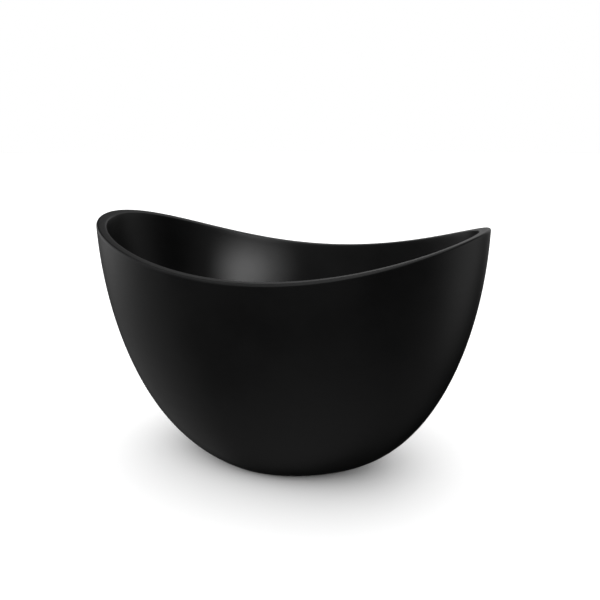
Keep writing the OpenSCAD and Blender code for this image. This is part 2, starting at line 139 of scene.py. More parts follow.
outer_brim = outer_skin.point(AROUND, outer_skin.brim_angle(AROUND))
inner_brim = inner_skin.point(AROUND, inner_skin.brim_angle(AROUND))
INWARD = (inner_brim - outer_brim)[:, :2]
INWARD /= np.linalg.norm(INWARD, axis=1, keepdims=True)


def across_rim(skin, inset, depth):
    """Ring of the rim's section: inset inwards from a skin, and depth below the saddle."""
    start = skin.point(AROUND, skin.brim_angle(AROUND, depth))
    ring = start.copy()
    ring[:, :2] += INWARD * inset
    ring[:, 2] += saddle(ring[:, 0]) - saddle(start[:, 0])
    return ring


def circle(radius, z):
    return np.stack([radius * np.cos(AROUND), radius * np.sin(AROUND), z + 0 * AROUND], axis=-1)


def lofted(name, rings, closed=False, polish_and_highlight=None, crease=35):
    """Mesh object through rings of points, each joined to the next, and the last to the first if closed."""
    rings = np.asarray(rings)
    count, sides = rings.shape[:2]
    rows = np.arange(count if closed else count - 1)[:, None]
    i = np.arange(sides)[None, :]
    k, below, above = (i + 1) % sides, rows * sides, (rows + 1) % count * sides
    faces = np.stack([below + i, below + k, above + k, above + i], axis=-1).reshape(-1, 4).tolist()
    if not closed:
        faces += [list(range(sides))[::-1], [(count - 1) * sides + n for n in range(sides)]]
    mesh = bpy.data.meshes.new(name)
    mesh.from_pydata(rings.reshape(-1, 3).tolist(), [], faces)
    if polish_and_highlight is not None:
        hand_polish_and_highlight = mesh.attributes.new("hand_polish_and_highlight", "FLOAT", "POINT")
        hand_polish_and_highlight.data.foreach_set("value", np.repeat(polish_and_highlight, sides).astype(np.float32))
    mesh.shade_smooth()
    mesh.set_sharp_from_angle(angle=math.radians(crease))
    made = bpy.data.objects.new(name, mesh)
    bpy.context.scene.collection.objects.link(made)
    return made


def eased(start, end, steps):
    """Rings on straight lines between two rings, both left out."""
    return [start + (end - start) * j / (steps + 1) for j in range(1, steps + 1)]


RECESS_CLEARANCE = 0.0005
RECESS_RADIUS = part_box("waste_flange")[1].x + RECESS_CLEARANCE
RECESS_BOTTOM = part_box("flange_gasket")[0].z
DRAIN_HOLE = 0.0259
BOSS_RADIUS = 0.045
BOSS_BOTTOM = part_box("under_gasket")[1].z
FLOOR_UNDER = FLOOR_HEIGHT - FLOOR_THICKNESS
EASE = 0.0012

floor_edge = inner_skin.point(AROUND, 0 * AROUND)
floor_middle = floor_edge * [0.3, 0.4, 1] - [0, 0, FLOOR_FALL]
drain_level = FLOOR_HEIGHT - FLOOR_FALL

quarter = np.radians([0, 15, 30, 45, 60, 75, 90])
wall_top = inner_skin.brim_angle(AROUND, RIM_INNER_ROUND)
back_top = inner_skin.brim_angle(AROUND, SHELL)

drain_rings = [circle(DRAIN_HOLE, RECESS_BOTTOM), circle(RECESS_RADIUS, RECESS_BOTTOM),
               circle(RECESS_RADIUS, drain_level - EASE)]
drain_rings += [circle(RECESS_RADIUS + EASE * (1 - math.cos(q)), drain_level - EASE * (1 - math.sin(q)))
                for q in quarter[1:]]
floor_rings = eased(drain_rings[-1], floor_middle, 2) + [floor_middle]
floor_rings += eased(floor_middle, floor_edge, 10)
wall_rings = [inner_skin.point(AROUND, wall_top * j / 72) for j in range(73)]
inner_edge = [across_rim(inner_skin, -RIM_INNER_ROUND * (1 - math.cos(q)), RIM_INNER_ROUND * (1 - math.sin(q)))
              for q in quarter[1:]]
outer_edge = [across_rim(outer_skin, RIM_OUTER_ROUND * (1 - math.cos(q)), RIM_OUTER_ROUND * (1 - math.sin(q)))
              for q in np.radians(range(90, -1, -9))]
band = eased(inner_edge[-1], outer_edge[0], 3)
lip = [across_rim(outer_skin, 0, RIM_OUTER_ROUND + (LIP_DEPTH - RIM_OUTER_ROUND) * j / 4) for j in range(1, 5)]
lip += [across_rim(outer_skin, SHELL, LIP_DEPTH),
        across_rim(outer_skin, SHELL, SHELL), across_rim(inner_skin, -SHELL, SHELL)]
back = []
for j in range(71, -1, -1):
    f = back_top * j / 72
    thickness = SHELL + (FLOOR_THICKNESS - SHELL) * np.cos(f) ** 2
    back.append(inner_skin.point(AROUND, f) + inner_skin.normal(AROUND, f) * thickness[:, None])
boss = [circle(BOSS_RADIUS, FLOOR_UNDER), circle(BOSS_RADIUS, BOSS_BOTTOM), circle(DRAIN_HOLE, BOSS_BOTTOM)]
boss = eased(back[-1], boss[0], 4) + boss

basin_rings = drain_rings + floor_rings + wall_rings + inner_edge + band + outer_edge + lip + back + boss
# The rim's inner edge, and less so its outer rounding, are marked for a painted highlight: the gel coat is
# lighter there.
hand_polish_and_highlight = np.zeros(len(basin_rings))
rim_start = len(drain_rings + floor_rings + wall_rings)
rim_rings = len(inner_edge + band + outer_edge)
hand_polish_and_highlight[rim_start:rim_start + len(inner_edge)] = 1
hand_polish_and_highlight[rim_start + len(inner_edge + band):rim_start + rim_rings] = 0.8
basin = lofted("basin_shell", basin_rings, closed=True, polish_and_highlight=hand_polish_and_highlight)

OVERFLOW_HEIGHT = 0.5
COVER_SEAT = 0.028
OVERFLOW_HOLE = 0.020
OVERFLOW_BOSS = 0.031


def overflow_frame():
    """Where the overflow sits on the front wall, and the wall's outward normal there."""
    f = inner_skin.angle_at(OVERFLOW_HEIGHT)
    t = np.array([-math.pi / 2])
    return Vector(inner_skin.point(t, f)[0]), Vector(inner_skin.normal(t, np.array([f]))[0])


overflow_seat, overflow_out = overflow_frame()


def plain_cylinder(name, radius, start, end, sides=96):
    """Closed cylinder between two points, used to cut or to add to a shell."""
    along = (end - start).normalized()
    across = along.orthogonal().normalized()
    other = along.cross(across)
    angles = [2 * math.pi * n / sides for n in range(sides)]
    ring = [across * radius * math.cos(angle) + other * radius * math.sin(angle) for angle in angles]
    return lofted(name, [[start + p for p in ring], [end + p for p in ring]])


def shaped(piece, tool, operation):
    """Applies one exact boolean, and takes its tool away."""
    step = piece.modifiers.new("shaping", "BOOLEAN")
    step.object, step.operation, step.solver = tool, operation, "EXACT"
    bpy.context.view_layer.update()
    made = bpy.data.meshes.new_from_object(piece.evaluated_get(bpy.context.evaluated_depsgraph_get()))
    piece.modifiers.clear()
    piece.data = made
    bpy.data.objects.remove(tool)
    return piece


for radius, inside, outside, operation in (
    (OVERFLOW_BOSS, -0.003, -0.008, "UNION"),
    (COVER_SEAT, 0.008, 0.0, "DIFFERENCE"),
    (OVERFLOW_HOLE, 0.008, -0.012, "DIFFERENCE"),
):
    start, end = overflow_seat - overflow_out * inside, overflow_seat - overflow_out * outside
    tool = plain_cylinder("tool", radius, start, end)
    basin = shaped(basin, tool, operation)
basin.data.shade_smooth()
basin.data.set_sharp_from_angle(angle=math.radians(35))


class Wire:
    """A socket in a material's node tree. Python's operators on it add the Math nodes for them."""

    def __init__(self, tree, socket=None):
        self.tree = tree
        self.socket = socket

    def add(self, kind, settings=(), inputs=(), output=0):
        """Any node: its settings are set first, then its inputs' values or wires."""
        node = self.tree.nodes.new("ShaderNode" + kind)
        for name, value in dict(settings).items():
            setattr(node, name, value)
        for name, value in dict(inputs).items():
            if isinstance(value, Wire):
                self.tree.links.new(value.socket, node.inputs[name])
            else:
                node.inputs[name].default_value = value
        return Wire(self.tree, node.outputs[output]) if len(node.outputs) else None

    def maths(self, operation, *values):
        return self.add("Math", {"operation": operation}, enumerate(values))

    def __add__(self, other):
        return self.maths("ADD", self, other)

    def __sub__(self, other):
        return self.maths("SUBTRACT", self, other)

    def __rsub__(self, other):
        return self.maths("SUBTRACT", other, self)

    def __mul__(self, other):
        return self.maths("MULTIPLY", self, other)

    __radd__ = __add__
    __rmul__ = __mul__

    def band(self, low, high, start=0.0, end=1.0):
        """Smooth step from start to end, as this value goes from low to high."""
        return self.add("MapRange", {"interpolation_type": "SMOOTHSTEP"},
                        {"Value": self, "From Min": low, "From Max": high, "To Min": start, "To Max": end})


def colours(wire, share, first, second):
    """First colour where share is 0 and second where it is 1."""
    first, second = (c if isinstance(c, Wire) else (*c, 1) for c in (first, second))
    return wire.add("Mix", {"data_type": "RGBA"}, {0: share, 6: first, 7: second}, output=2)


def stretched(wire, place, scale):
    """A place with each of its three directions scaled."""
    return wire.add("VectorMath", {"operation": "MULTIPLY"}, {0: place, 1: scale})


def noise(wire, place, scale, detail=2.0, roughness=0.5):
    return wire.add("TexNoise", {}, {"Vector": place, "Scale": scale, "Detail": detail, "Roughness": roughness})


def worn_edge(wire, radius, start=0.02, end=0.12):
    """1 at a piece's outer edges, and 0 on its faces."""
    rounded = wire.add("Bevel", {"samples": 4}, {"Radius": radius})
    true = wire.add("NewGeometry", output="Normal")
    alike = wire.add("VectorMath", {"operation": "DOT_PRODUCT"}, {0: rounded, 1: true}, output="Value")
    return (1 - alike).band(start, end)


def finish(name, recipe, **constants):
    """Material from a recipe, which gives what varies over the surface. Constants are set on the shader."""
    material = bpy.data.materials.new(name)
    material.use_nodes = True
    material.node_tree.nodes.clear()
    wire = Wire(material.node_tree)
    place = wire.add("TexCoord", output="Object")
    varying = recipe(wire, place)
    if "height" in varying:
        height, distance = varying.pop("height")
        varying["Normal"] = wire.add("Bump", {}, {"Height": height, "Distance": distance, "Strength": 1.0})
    inputs = {key.replace("_", " "): value for key, value in constants.items()}
    shader = wire.add("BsdfPrincipled", {}, {**inputs, **varying})
    wire.add("OutputMaterial", {}, {"Surface": shader})
    return material


def dressed(piece, material):
    """Gives a piece, new or carried over, one material."""
    if not piece.material_slots:
        piece.data.materials.append(material)
    for place in piece.material_slots:
        place.material = material
    return piece


def gel_coat(wire, place):
    """Satin black gel coat: a faint orange peel, patches from rubbing down, edges polished by hands, and a
    painted highlight that lightens the rim's edges.
    """
    rubbed = noise(wire, place, 7.0, 4.0, 0.6)
    fine = noise(wire, place, 240.0, 3.0, 0.55)
    wiped = noise(wire, stretched(wire, place, (9.0, 9.0, 70.0)), 1.0, 3.0)
    dust = noise(wire, place, 900.0, 1.0).band(0.66, 0.74)
    # Marked rim edges: a lighter colour as a painted highlight, together with the lower roughness of hand
    # polish.
    hand_polish_and_highlight = wire.add("Attribute", {"attribute_name": "hand_polish_and_highlight"}, output="Fac")
    low = wire.add("SeparateXYZ", {}, {"Vector": place}, output="Z")
    scuffed = low.band(0.05, 0.0) * noise(wire, place, 60.0, 4.0).band(0.5, 0.7)
    tone = colours(wire, rubbed.band(0.3, 0.7), (0.0100, 0.0101, 0.0104), (0.0135, 0.0136, 0.0139))
    tone = colours(wire, dust * 0.10 + hand_polish_and_highlight * 0.12 + scuffed * 0.15, tone, (0.05, 0.05, 0.051))
    rough = 0.36 + rubbed.band(0.25, 0.75) * 0.05 + (wiped - 0.5) * 0.05 + dust * 0.08
    rough = rough - hand_polish_and_highlight * 0.05 + scuffed * 0.1
    return {"Base Color": tone, "Roughness": rough, "height": (fine * 0.8 + dust * 0.2, 0.00012)}


black_gel_coat = finish("black_gel_coat", gel_coat, IOR=1.5)
dressed(basin, black_gel_coat)
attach(basin, "tub")
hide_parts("basin")


# ---------------------------------------------------------------- skirt
# The outer shell, moulded in the same acrylic and resin. It runs down from the basin's lip, turns
# under in one curve, and ends in a flat flange with an oval opening to reach the waste and feet.

BOND_GAP = 0.0004
STRIP_TOP = 0.008
STRIP_BOTTOM = 0.036
BASE_OPENING = 0.86

skirt_top = LIP_DEPTH + BOND_GAP
skirt_brim = outer_skin.brim_angle(AROUND, skirt_top)
skirt_outside = [outer_skin.point(AROUND, skirt_brim * j / 80) for j in range(81)]
skirt_lap = [across_rim(outer_skin, SHELL, skirt_top), across_rim(outer_skin, SHELL, STRIP_BOTTOM)]
skirt_inside = []
for j in range(76, -1, -1):
    f = skirt_brim * j / 80
    skirt_inside.append(outer_skin.point(AROUND, f) - outer_skin.normal(AROUND, f) * SHELL)
foot = skirt_outside[0] * [BASE_OPENING, BASE_OPENING, 1]
opening = [foot + [0, 0, SHELL], foot + [0, 0, 0.001], foot * [1.004, 1.004, 1]]
skirt_rings = skirt_outside + skirt_lap + skirt_inside + opening
skirt = lofted("skirt_shell", skirt_rings, closed=True, polish_and_highlight=np.zeros(len(skirt_rings)))
dressed(skirt, black_gel_coat)
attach(skirt, "tub")
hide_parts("skirt")


# ---------------------------------------------------------------- seam filler
# The gap between the basin's lip and the skirt, filled with the same gel coat and rubbed down
# flush, so that the two skins look like one outside.

filler_section = ((0.0, LIP_DEPTH), (SHELL, LIP_DEPTH), (SHELL, skirt_top), (0.0, skirt_top))
seam_filler = lofted("seam_filler", [across_rim(outer_skin, inset, depth) for inset, depth in filler_section],
                     closed=True, polish_and_highlight=np.zeros(4))
dressed(seam_filler, black_gel_coat)
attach(seam_filler, "tub")


# ---------------------------------------------------------------- joint strip
# A band of the same grey moulding as the waste, bonded behind the seam. It carries the load from
# the basin's lip into the skirt, and holds both skins flush outside.

STRIP_FACE = SHELL + 0.00005
STRIP_THICKNESS = 0.003
STRIP_EASE = 0.0004
strip_back = STRIP_FACE + STRIP_THICKNESS
strip_foot = STRIP_BOTTOM - 0.001

strip_section = (
    (STRIP_FACE, STRIP_TOP + STRIP_EASE), (STRIP_FACE + STRIP_EASE, STRIP_TOP),
    (strip_back - STRIP_EASE, STRIP_TOP), (strip_back, STRIP_TOP + STRIP_EASE),
    (strip_back, strip_foot - STRIP_EASE), (strip_back - STRIP_EASE, strip_foot),
    (STRIP_FACE + STRIP_EASE, strip_foot), (STRIP_FACE, strip_foot - STRIP_EASE),
)
strip_rings = [across_rim(outer_skin, inset, depth) for inset, depth in strip_section]
joint_strip = lofted("seam_strip", strip_rings, closed=True)


def grey_moulding(wire, place):
    """Spark-eroded grey plastic: a fine even texture, flow marks, and edges scuffed pale."""
    grain = noise(wire, place, 1400.0, 2.0)
    flow = noise(wire, stretched(wire, place, (14.0, 14.0, 45.0)), 1.0, 4.0, 0.6)
    scuff = noise(wire, place, 160.0, 3.0).band(0.60, 0.72)
    edge = worn_edge(wire, 0.0006) * 0.35
    tone = colours(wire, flow.band(0.3, 0.7), (0.085, 0.089, 0.096), (0.110, 0.114, 0.121))
    tone = colours(wire, edge + scuff * 0.10, tone, (0.24, 0.25, 0.26))
    return {"Base Color": tone, "Roughness": 0.46 + flow * 0.10 + scuff * 0.08 - edge * 0.2,
            "height": (grain * 0.6 + scuff * 0.4, 0.00006)}


moulding = finish("grey_moulding", grey_moulding, IOR=1.49)
dressed(joint_strip, moulding)
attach(joint_strip, "tub")
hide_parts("joint_strip")


# ---------------------------------------------------------------- base board
# Birch plywood, nine plies, sawn with rounded corners and holed for the waste and the levelling
# studs. It is bonded to the basin's underside with resin.

board_low, board_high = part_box("base_board")
PLIES = 9


def birch_plywood(wire, place):
    """Rotary-cut birch on the faces, plies and dark glue lines on the sawn edges."""
    grain = noise(wire, stretched(wire, place, (5.0, 70.0, 20.0)), 1.0, 6.0, 0.6)
    figure = noise(wire, stretched(wire, place, (1.2, 9.0, 3.0)), 1.0, 3.0)
    pores = noise(wire, stretched(wire, place, (90.0, 1500.0, 300.0)), 1.0, 2.0).band(0.60, 0.70)
    face = colours(wire, grain.band(0.35, 0.65), (0.52, 0.35, 0.19), (0.66, 0.48, 0.29))
    face = colours(wire, figure.band(0.4, 0.7) * 0.5, face, (0.45, 0.29, 0.15))
    height = wire.add("SeparateXYZ", {}, {"Vector": place}, output="Z")
    ply = (height - board_low.z) * (PLIES / (board_high.z - board_low.z))
    across = wire.maths("SINE", ply * math.pi)
    end_grain = noise(wire, place, 900.0, 3.0)
    edge = colours(wire, across.band(-0.25, 0.25), (0.30, 0.18, 0.09), (0.56, 0.40, 0.23))
    edge = colours(wire, end_grain.band(0.5, 0.7) * 0.4, edge, (0.20, 0.12, 0.06))
    edge = colours(wire, wire.maths("ABSOLUTE", across).band(0.22, 0.0) * 0.7, edge, (0.09, 0.05, 0.03))
    normal = wire.add("NewGeometry", output="Normal")
    level = wire.add("SeparateXYZ", {}, {"Vector": normal}, output="Z")
    on_face = wire.maths("ABSOLUTE", level).band(0.5, 0.8)
    tone = colours(wire, on_face, edge, face)
    tone = colours(wire, pores * 0.35, tone, (0.25, 0.15, 0.08))
    return {"Base Color": tone, "Roughness": 0.60 + grain * 0.12 + (1 - on_face) * 0.12,
            "height": (grain * 0.5 - pores * 0.4, 0.00012)}


dressed(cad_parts["base_board"], finish("birch_plywood", birch_plywood))


# ---------------------------------------------------------------- rails
# Square steel tube, hot-dip galvanised after the two cross rails were welded between the long
# ones. The zinc shows its crystals, and is duller along the welds.

rail_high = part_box("long_rail_front")[1]
WELD_FADE = 0.010


def galvanised(wire, place):
    """Zinc crystals of differing brightness, with grey ash at the welds and bright rubbed corners."""
    warp = wire.add("TexNoise", {}, {"Vector": place, "Scale": 60.0}, output="Color")
    bent = wire.add("VectorMath", {"operation": "MULTIPLY_ADD"}, {0: warp, 1: (0.006, 0.006, 0.006), 2: place})
    crystal = wire.add("TexVoronoi", {}, {"Vector": bent, "Scale": 120.0}, output="Color")
    shade = wire.add("SeparateColor", {}, {"Color": crystal}, output="Red")
    fine = noise(wire, place, 500.0, 3.0)
    along = wire.maths("ABSOLUTE", wire.add("SeparateXYZ", {}, {"Vector": place}, output="Y"))
    weld = wire.maths("ABSOLUTE", along + rail_high.y).band(WELD_FADE, 0.002)
    corner = worn_edge(wire, 0.0012)
    tone = colours(wire, shade, (0.40, 0.42, 0.44), (0.60, 0.62, 0.64))
    tone = colours(wire, weld * 0.6 + fine.band(0.6, 0.8) * 0.2, tone, (0.25, 0.26, 0.27))
    tone = colours(wire, corner * 0.5, tone, (0.70, 0.71, 0.72))
    return {"Base Color": tone, "Roughness": 0.36 + shade * 0.16 + weld * 0.2 - corner * 0.1,
            "height": (shade * 0.3 + fine * 0.5, 0.00005)}


zinc_dip = finish("galvanised_steel", galvanised, Metallic=1.0)
for name in ("long_rail_front", "long_rail_rear", "cross_rail_left", "cross_rail_right"):
    dressed(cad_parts[name], zinc_dip)


# ---------------------------------------------------------------- screws and nuts
# Zinc-plated steel, bought in: eight pan-head screws from rail to board, a nut welded under each
# stud's hole, and a thin jam nut below it that locks the foot once the tub stands level.

def zinc_plate(wire, place):
    """Bright zinc with a faint yellow passivation, spanner scratches, and bare steel at the corners."""
    cloud = noise(wire, place, 110.0, 3.0)
    scratch = noise(wire, stretched(wire, place, (1900.0, 320.0, 520.0)), 1.0, 2.0).band(0.60, 0.70)
    corner = worn_edge(wire, 0.0005)
    tone = colours(wire, cloud.band(0.3, 0.7), (0.50, 0.52, 0.55), (0.62, 0.60, 0.53))
    tone = colours(wire, corner * 0.6 + scratch * 0.2, tone, (0.74, 0.74, 0.74))
    return {"Base Color": tone, "Roughness": 0.32 + cloud * 0.14 + scratch * 0.12 - corner * 0.08,
            "height": (cloud * 0.4 - scratch * 0.5, 0.00003)}


plated = finish("zinc_plated_steel", zinc_plate, Metallic=1.0)
for name in ("board_screws", "weld_nuts", "lock_nuts"):
    dressed(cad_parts[name], plated)


# ---------------------------------------------------------------- levelling studs
# M10 zinc-plated studs with a rolled thread of 1.5 mm pitch. Each has a forged hexagon near its
# foot for a spanner, and a plain journal below it that turns in the pad.

STUD_RADIUS = 0.00495
THREAD_PITCH = 0.0015
THREAD_DEPTH = 0.00092
HEXAGON_RADIUS = 0.0081
HEXAGON_BOTTOM = 0.0070
HEXAGON_HEIGHT = 0.0060
STUD_SIDES = 48
turn = 2 * math.pi * np.arange(STUD_SIDES) / STUD_SIDES
hexagon = HEXAGON_RADIUS * math.cos(math.pi / 6) / np.cos((turn + math.pi / 6) % (math.pi / 3) - math.pi / 6)


def stud_ring(radius, z):
    r = radius + 0 * turn
    return np.stack([r * np.cos(turn), r * np.sin(turn), z + 0 * turn], axis=-1)


def thread_ring(z, depth):
    """One level of the thread: a V rounded at its root, one turn behind itself a pitch higher."""
    phase = np.abs((z / THREAD_PITCH - turn / (2 * math.pi)) % 1 * 2 - 1)
    return stud_ring(STUD_RADIUS - depth * np.clip(1.15 * phase - 0.10, 0, 1), z)


def levelling_stud(name, length):
    """Stud from its foot at 0 up to its length."""
    hex_top = HEXAGON_BOTTOM + HEXAGON_HEIGHT
    chamfer = np.minimum(hexagon, HEXAGON_RADIUS * 0.93)
    rings = [stud_ring(STUD_RADIUS - 0.001, 0), stud_ring(STUD_RADIUS, 0.001),
             stud_ring(STUD_RADIUS, HEXAGON_BOTTOM), stud_ring(chamfer, HEXAGON_BOTTOM),
             stud_ring(hexagon, HEXAGON_BOTTOM + 0.0006), stud_ring(hexagon, hex_top - 0.0006),
             stud_ring(chamfer, hex_top), stud_ring(STUD_RADIUS, hex_top)]
    start, stop = hex_top + 0.0015, length - 0.0015
    levels = np.linspace(start, stop, round((stop - start) / THREAD_PITCH * 7))
    rings.append(stud_ring(STUD_RADIUS, start - 0.0005))
    rings += [thread_ring(z, THREAD_DEPTH * min(1, (z - start) / THREAD_PITCH)) for z in levels]
    rings.append(stud_ring(STUD_RADIUS - 0.0015, length))
    return lofted(name, rings, crease=40)


def rolled_thread(wire, place):
    """The plating of the nuts, with assembly grease and dust held in the thread's roots."""
    varying = zinc_plate(wire, place)
    level = stretched(wire, place, (1, 1, 0))
    across = wire.add("VectorMath", {"operation": "LENGTH"}, {0: level}, output="Value")
    root = across.band(STUD_RADIUS, STUD_RADIUS - THREAD_DEPTH)
    varying["Base Color"] = colours(wire, root * 0.7, varying["Base Color"], (0.16, 0.15, 0.13))
    varying["Roughness"] = varying["Roughness"] + root * 0.12
    return varying


threaded = finish("rolled_zinc_thread", rolled_thread, Metallic=1.0)
CORNERS = ("front_left", "front_right", "rear_left", "rear_right")
for corner in CORNERS:
    low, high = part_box("foot_stud_" + corner)
    stud = dressed(levelling_stud("levelling_stud_" + corner, high.z - low.z), threaded)
    stud.location = ((low.x + high.x) / 2, (low.y + high.y) / 2, low.z)
    bpy.context.view_layer.update()
    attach(stud, "stud_" + corner)
    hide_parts("foot_stud_" + corner)


# ---------------------------------------------------------------- foot pads
# Moulded hard rubber, black, with a socket for the stud's journal. They spread the load and keep
# a filled tub from creeping on a tiled floor.

def hard_rubber(wire, place):
    """Matt black with a pale bloom, and grit pressed into the tread where it meets the floor."""
    grain = noise(wire, place, 900.0, 3.0)
    bloom = noise(wire, place, 70.0, 4.0, 0.6)
    height = wire.add("SeparateXYZ", {}, {"Vector": place}, output="Z")
    grit = height.band(0.003, 0.0) * noise(wire, place, 420.0, 4.0).band(0.45, 0.65)
    edge = worn_edge(wire, 0.0008) * 0.3
    tone = colours(wire, bloom.band(0.35, 0.75), (0.016, 0.016, 0.016), (0.036, 0.036, 0.037))
    tone = colours(wire, grit * 0.6 + edge, tone, (0.12, 0.115, 0.11))
    return {"Base Color": tone, "Roughness": 0.66 + bloom * 0.16 + grit * 0.1,
            "height": (grain * 0.7 + grit * 0.3, 0.00009)}


pad_rubber = finish("hard_rubber", hard_rubber)
for corner in CORNERS:
    dressed(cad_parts["foot_pad_" + corner], pad_rubber)


# ---------------------------------------------------------------- waste
# A cast flange, powder-coated satin black, is drawn down by its threaded stem onto a gasket in the
# basin's recess. Below the floor hang the grey moulded chamber, its outlet nut, and the tailpiece.

def powder_coat(wire, place):
    """Satin black powder coat: a tight orange peel, water marks, and brighter rubbed edges."""
    peel = noise(wire, place, 650.0, 2.0)
    mark = noise(wire, place, 55.0, 4.0, 0.65)
    limescale = noise(wire, place, 260.0, 4.0, 0.6).band(0.62, 0.72) * mark.band(0.45, 0.65)
    edge = worn_edge(wire, 0.0006) * 0.5
    tone = colours(wire, mark.band(0.3, 0.7), (0.0105, 0.0106, 0.0110), (0.0150, 0.0151, 0.0154))
    tone = colours(wire, edge * 0.3 + limescale * 0.12, tone, (0.085, 0.083, 0.080))
    return {"Base Color": tone, "Roughness": 0.30 + mark * 0.08 + limescale * 0.16 - edge * 0.08,
            "height": (peel * 0.8 + limescale * 0.2, 0.00004)}


def black_seal(wire, place):
    """Pressed sealing rubber, with a dusting of talc and the shine of its mould."""
    grain = noise(wire, place, 1200.0, 2.0)
    talc = noise(wire, place, 130.0, 5.0, 0.65).band(0.52, 0.75)
    edge = worn_edge(wire, 0.0004) * 0.25
    tone = colours(wire, talc, (0.018, 0.018, 0.019), (0.055, 0.055, 0.056))
    tone = colours(wire, edge, tone, (0.09, 0.09, 0.09))
    return {"Base Color": tone, "Roughness": 0.50 + talc * 0.25 + grain * 0.05, "height": (grain, 0.00004)}


coated = finish("black_powder_coat", powder_coat, IOR=1.5)
sealing = finish("sealing_rubber", black_seal)
dressed(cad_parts["waste_flange"], coated)
for name in ("flange_gasket", "under_gasket", "outlet_washer"):
    dressed(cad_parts[name], sealing)
for name in ("waste_body", "outlet_nut", "tailpiece"):
    dressed(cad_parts[name], moulding)


# ---------------------------------------------------------------- pop-up plug
# A press-to-open plug: a coated domed cap over a rubber seal, on a brass stem that slides in a
# turned brass cartridge screwed into the flange's web. A spring lifts it clear of the drain.

def turned_brass(wire, place):
    """Brass off the lathe: fine rings along the axis, warm tarnish, and bright corners."""
    ring = noise(wire, stretched(wire, place, (30.0, 30.0, 5200.0)), 1.0, 2.0)
    tarnish = noise(wire, place, 170.0, 5.0, 0.6)
    corner = worn_edge(wire, 0.0004)
    tone = colours(wire, tarnish.band(0.35, 0.7), (0.72, 0.52, 0.22), (0.50, 0.34, 0.14))
    tone = colours(wire, corner * 0.5, tone, (0.85, 0.66, 0.34))
    return {"Base Color": tone, "Roughness": 0.24 + ring * 0.08 + tarnish * 0.14 - corner * 0.06,
            "height": (ring, 0.00003)}


brass = finish("turned_brass", turned_brass, Metallic=1.0)
for name in ("cartridge", "plug_stem"):
    dressed(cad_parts[name], brass)
dressed(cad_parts["plug_cap"], coated)
dressed(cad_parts["plug_seal"], sealing)

spring_low, spring_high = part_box("plug_spring")
SPRING_TURNS = 5
CUT_END = 0.6
SPRING_WIRE = 0.00055
SPRING_RADIUS = spring_high.x - SPRING_WIRE
END_COILS_CLOSER = 0.07
WIRE_SIDES = 14

share = np.linspace(0, 1, 44 * SPRING_TURNS + 1)
spring_angle = 2 * math.pi * SPRING_TURNS * share
spring_level = spring_low.z + SPRING_WIRE + (spring_high.z - spring_low.z - 2 * SPRING_WIRE) * (
    share - END_COILS_CLOSER * np.sin(2 * math.pi * share))
section = 2 * math.pi * np.arange(WIRE_SIDES) / WIRE_SIDES


def spring_ring(angle, level, scale=1.0):
    """Section of the wire at an angle round the coil, drawn in at its two cut ends."""
    r = SPRING_RADIUS + SPRING_WIRE * scale * np.cos(section)
    z = level - SPRING_WIRE * scale * np.sin(section)
    return np.stack([r * math.cos(angle), r * math.sin(angle), z], axis=-1)


spring_rings = [spring_ring(0, spring_level[0], CUT_END)]
spring_rings += [spring_ring(angle, level) for angle, level in zip(spring_angle, spring_level, strict=True)]
spring_rings += [spring_ring(0, spring_level[-1], CUT_END)]
plug_spring = lofted("return_spring", spring_rings, crease=60)


def drawn_wire(wire, place):
    """Stainless spring wire: drawing lines, and a straw tint left by its heat treatment."""
    drawn = noise(wire, stretched(wire, place, (300.0, 300.0, 4500.0)), 1.0, 2.0)
    tint = noise(wire, place, 240.0, 3.0)
    tone = colours(wire, tint.band(0.35, 0.7), (0.50, 0.50, 0.50), (0.56, 0.50, 0.40))
    return {"Base Color": tone, "Roughness": 0.24 + drawn * 0.14, "height": (drawn, 0.00001)}


dressed(plug_spring, finish("drawn_spring_wire", drawn_wire, Metallic=1.0))
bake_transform(plug_spring)
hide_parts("plug_spring")


# ---------------------------------------------------------------- overflow
# A flat round cover on the front wall, coated like the waste, held by one screw into the duct
# behind. A seal on each side of the wall keeps the water in, and the duct carries it down.

dressed(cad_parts["overflow_cover"], coated)
dressed(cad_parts["overflow_screw"], coated)
dressed(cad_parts["overflow_seal_front"], sealing)
dressed(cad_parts["overflow_seal_back"], sealing)
dressed(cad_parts["overflow_duct"], moulding)


# ---------------------------------------------------------------- overflow hose
# Ribbed soft plastic, pushed over the duct's spigot above and the chamber's port below, and held
# by a clip at each end. Its ends are plain cuffs, and it is ribbed between them.

DUCT_DROP = 0.150
SPIGOT_AXIS = -0.015
SPIGOT_BASE = 0.004
SPIGOT_LENGTH = 0.024
PORT_HEIGHT = 0.078
HOSE_RADIUS = 0.016
HOSE_BORE = 0.0126
RIB_PITCH = 0.0052
RIB_DEPTH = 0.0019
RIB_ROUNDNESS = 0.7
END_EASE = 0.0005
CUFF = 0.022
HOSE_SIDES = 40
down_wall = overflow_out.cross(Vector((1, 0, 0)))
down_wall *= -1 if down_wall.z > 0 else 1


def on_wall(down, out):
    """A place in the plane across the tub, at a distance down the wall from the overflow and out from it."""
    place = overflow_seat + down_wall * down - overflow_out * out
    return place.y, place.z


route = np.array([
    on_wall(DUCT_DROP + SPIGOT_BASE + 0.0003, SPIGOT_AXIS), on_wall(DUCT_DROP + SPIGOT_LENGTH, SPIGOT_AXIS),
    (-0.278, 0.278), (-0.262, 0.238), (-0.238, 0.195), (-0.206, 0.156), (-0.168, 0.122), (-0.128, 0.094),
    (-0.092, PORT_HEIGHT), (-0.064, PORT_HEIGHT), (-0.034, PORT_HEIGHT),
])


def smooth_curve(points, steps):
    """Points of a smooth curve through a list of points."""
    made = []
    for i in range(len(points) - 1):
        a, b = points[max(i - 1, 0)], points[i]
        c, d = points[i + 1], points[min(i + 2, len(points) - 1)]
        for j in range(steps):
            s = j / steps
            slope, bend, twist = (c - a) / 2, a - 2.5 * b + 2 * c - d / 2, (3 * b - a - 3 * c + d) / 2
            made.append(b + slope * s + bend * s ** 2 + twist * s ** 3)
    return np.array(made + [points[-1]])


